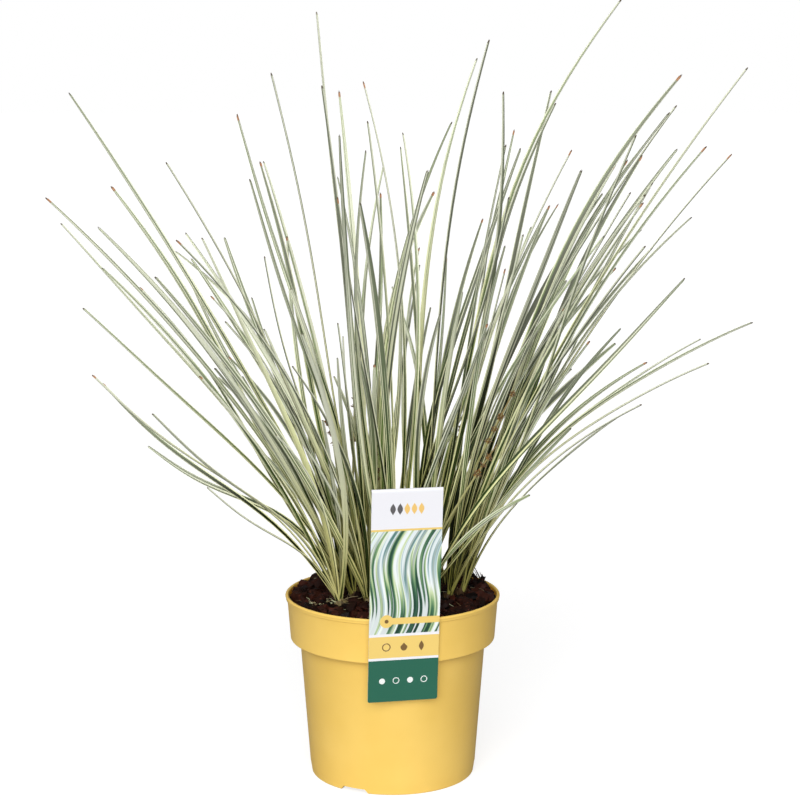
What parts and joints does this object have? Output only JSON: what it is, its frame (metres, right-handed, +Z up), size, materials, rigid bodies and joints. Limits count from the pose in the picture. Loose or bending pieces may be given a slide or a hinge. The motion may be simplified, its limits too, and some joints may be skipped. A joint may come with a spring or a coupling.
{
  "type": "potted spiny-head mat rush",
  "caption": "Variegated strap-leaved rush in a round plastic nursery pot, with potting mix, low spiny flower spikes and a folded card label.",
  "frame": {"origin": "middle of the flat pad on the pot's underside, on the surface the pot stands on", "axes": "+Z up; -Y is the front, the side that the label hangs on; +X is to the right as seen from the front"},
  "size_m": [0.5425, 0.4264, 0.6083],
  "materials": {
    "pot_plastic": "satin moulded yellow polypropylene",
    "potting_mix": "moist composted bark and peat, rough and dull",
    "leaf": "grey-green living leaf with cream margins, slight sheen",
    "flower": "dry brown bracts, dull",
    "label_card": "printed synthetic card, satin"
  },
  "bodies": {
    "root": {"pot": "pot_plastic", "potting_mix": "potting_mix", "plant_label": "label_card", "shoot_01": "leaf", "shoot_02": "leaf", "shoot_03": "leaf", "shoot_04": "leaf", "shoot_05": "leaf", "shoot_06": "leaf", "shoot_07": "leaf", "shoot_08": "leaf", "shoot_09": "leaf", "shoot_10": "leaf", "shoot_11": "leaf", "shoot_12": "leaf", "shoot_13": "leaf", "shoot_14": "leaf", "shoot_15": "leaf", "shoot_16": "leaf", "flower_spike_1": "flower", "flower_spike_2": "flower", "flower_spike_3": "flower", "flower_spike_4": "flower", "flower_spike_5": "flower", "flower_spike_6": "flower"}
  },
  "joints": []
}
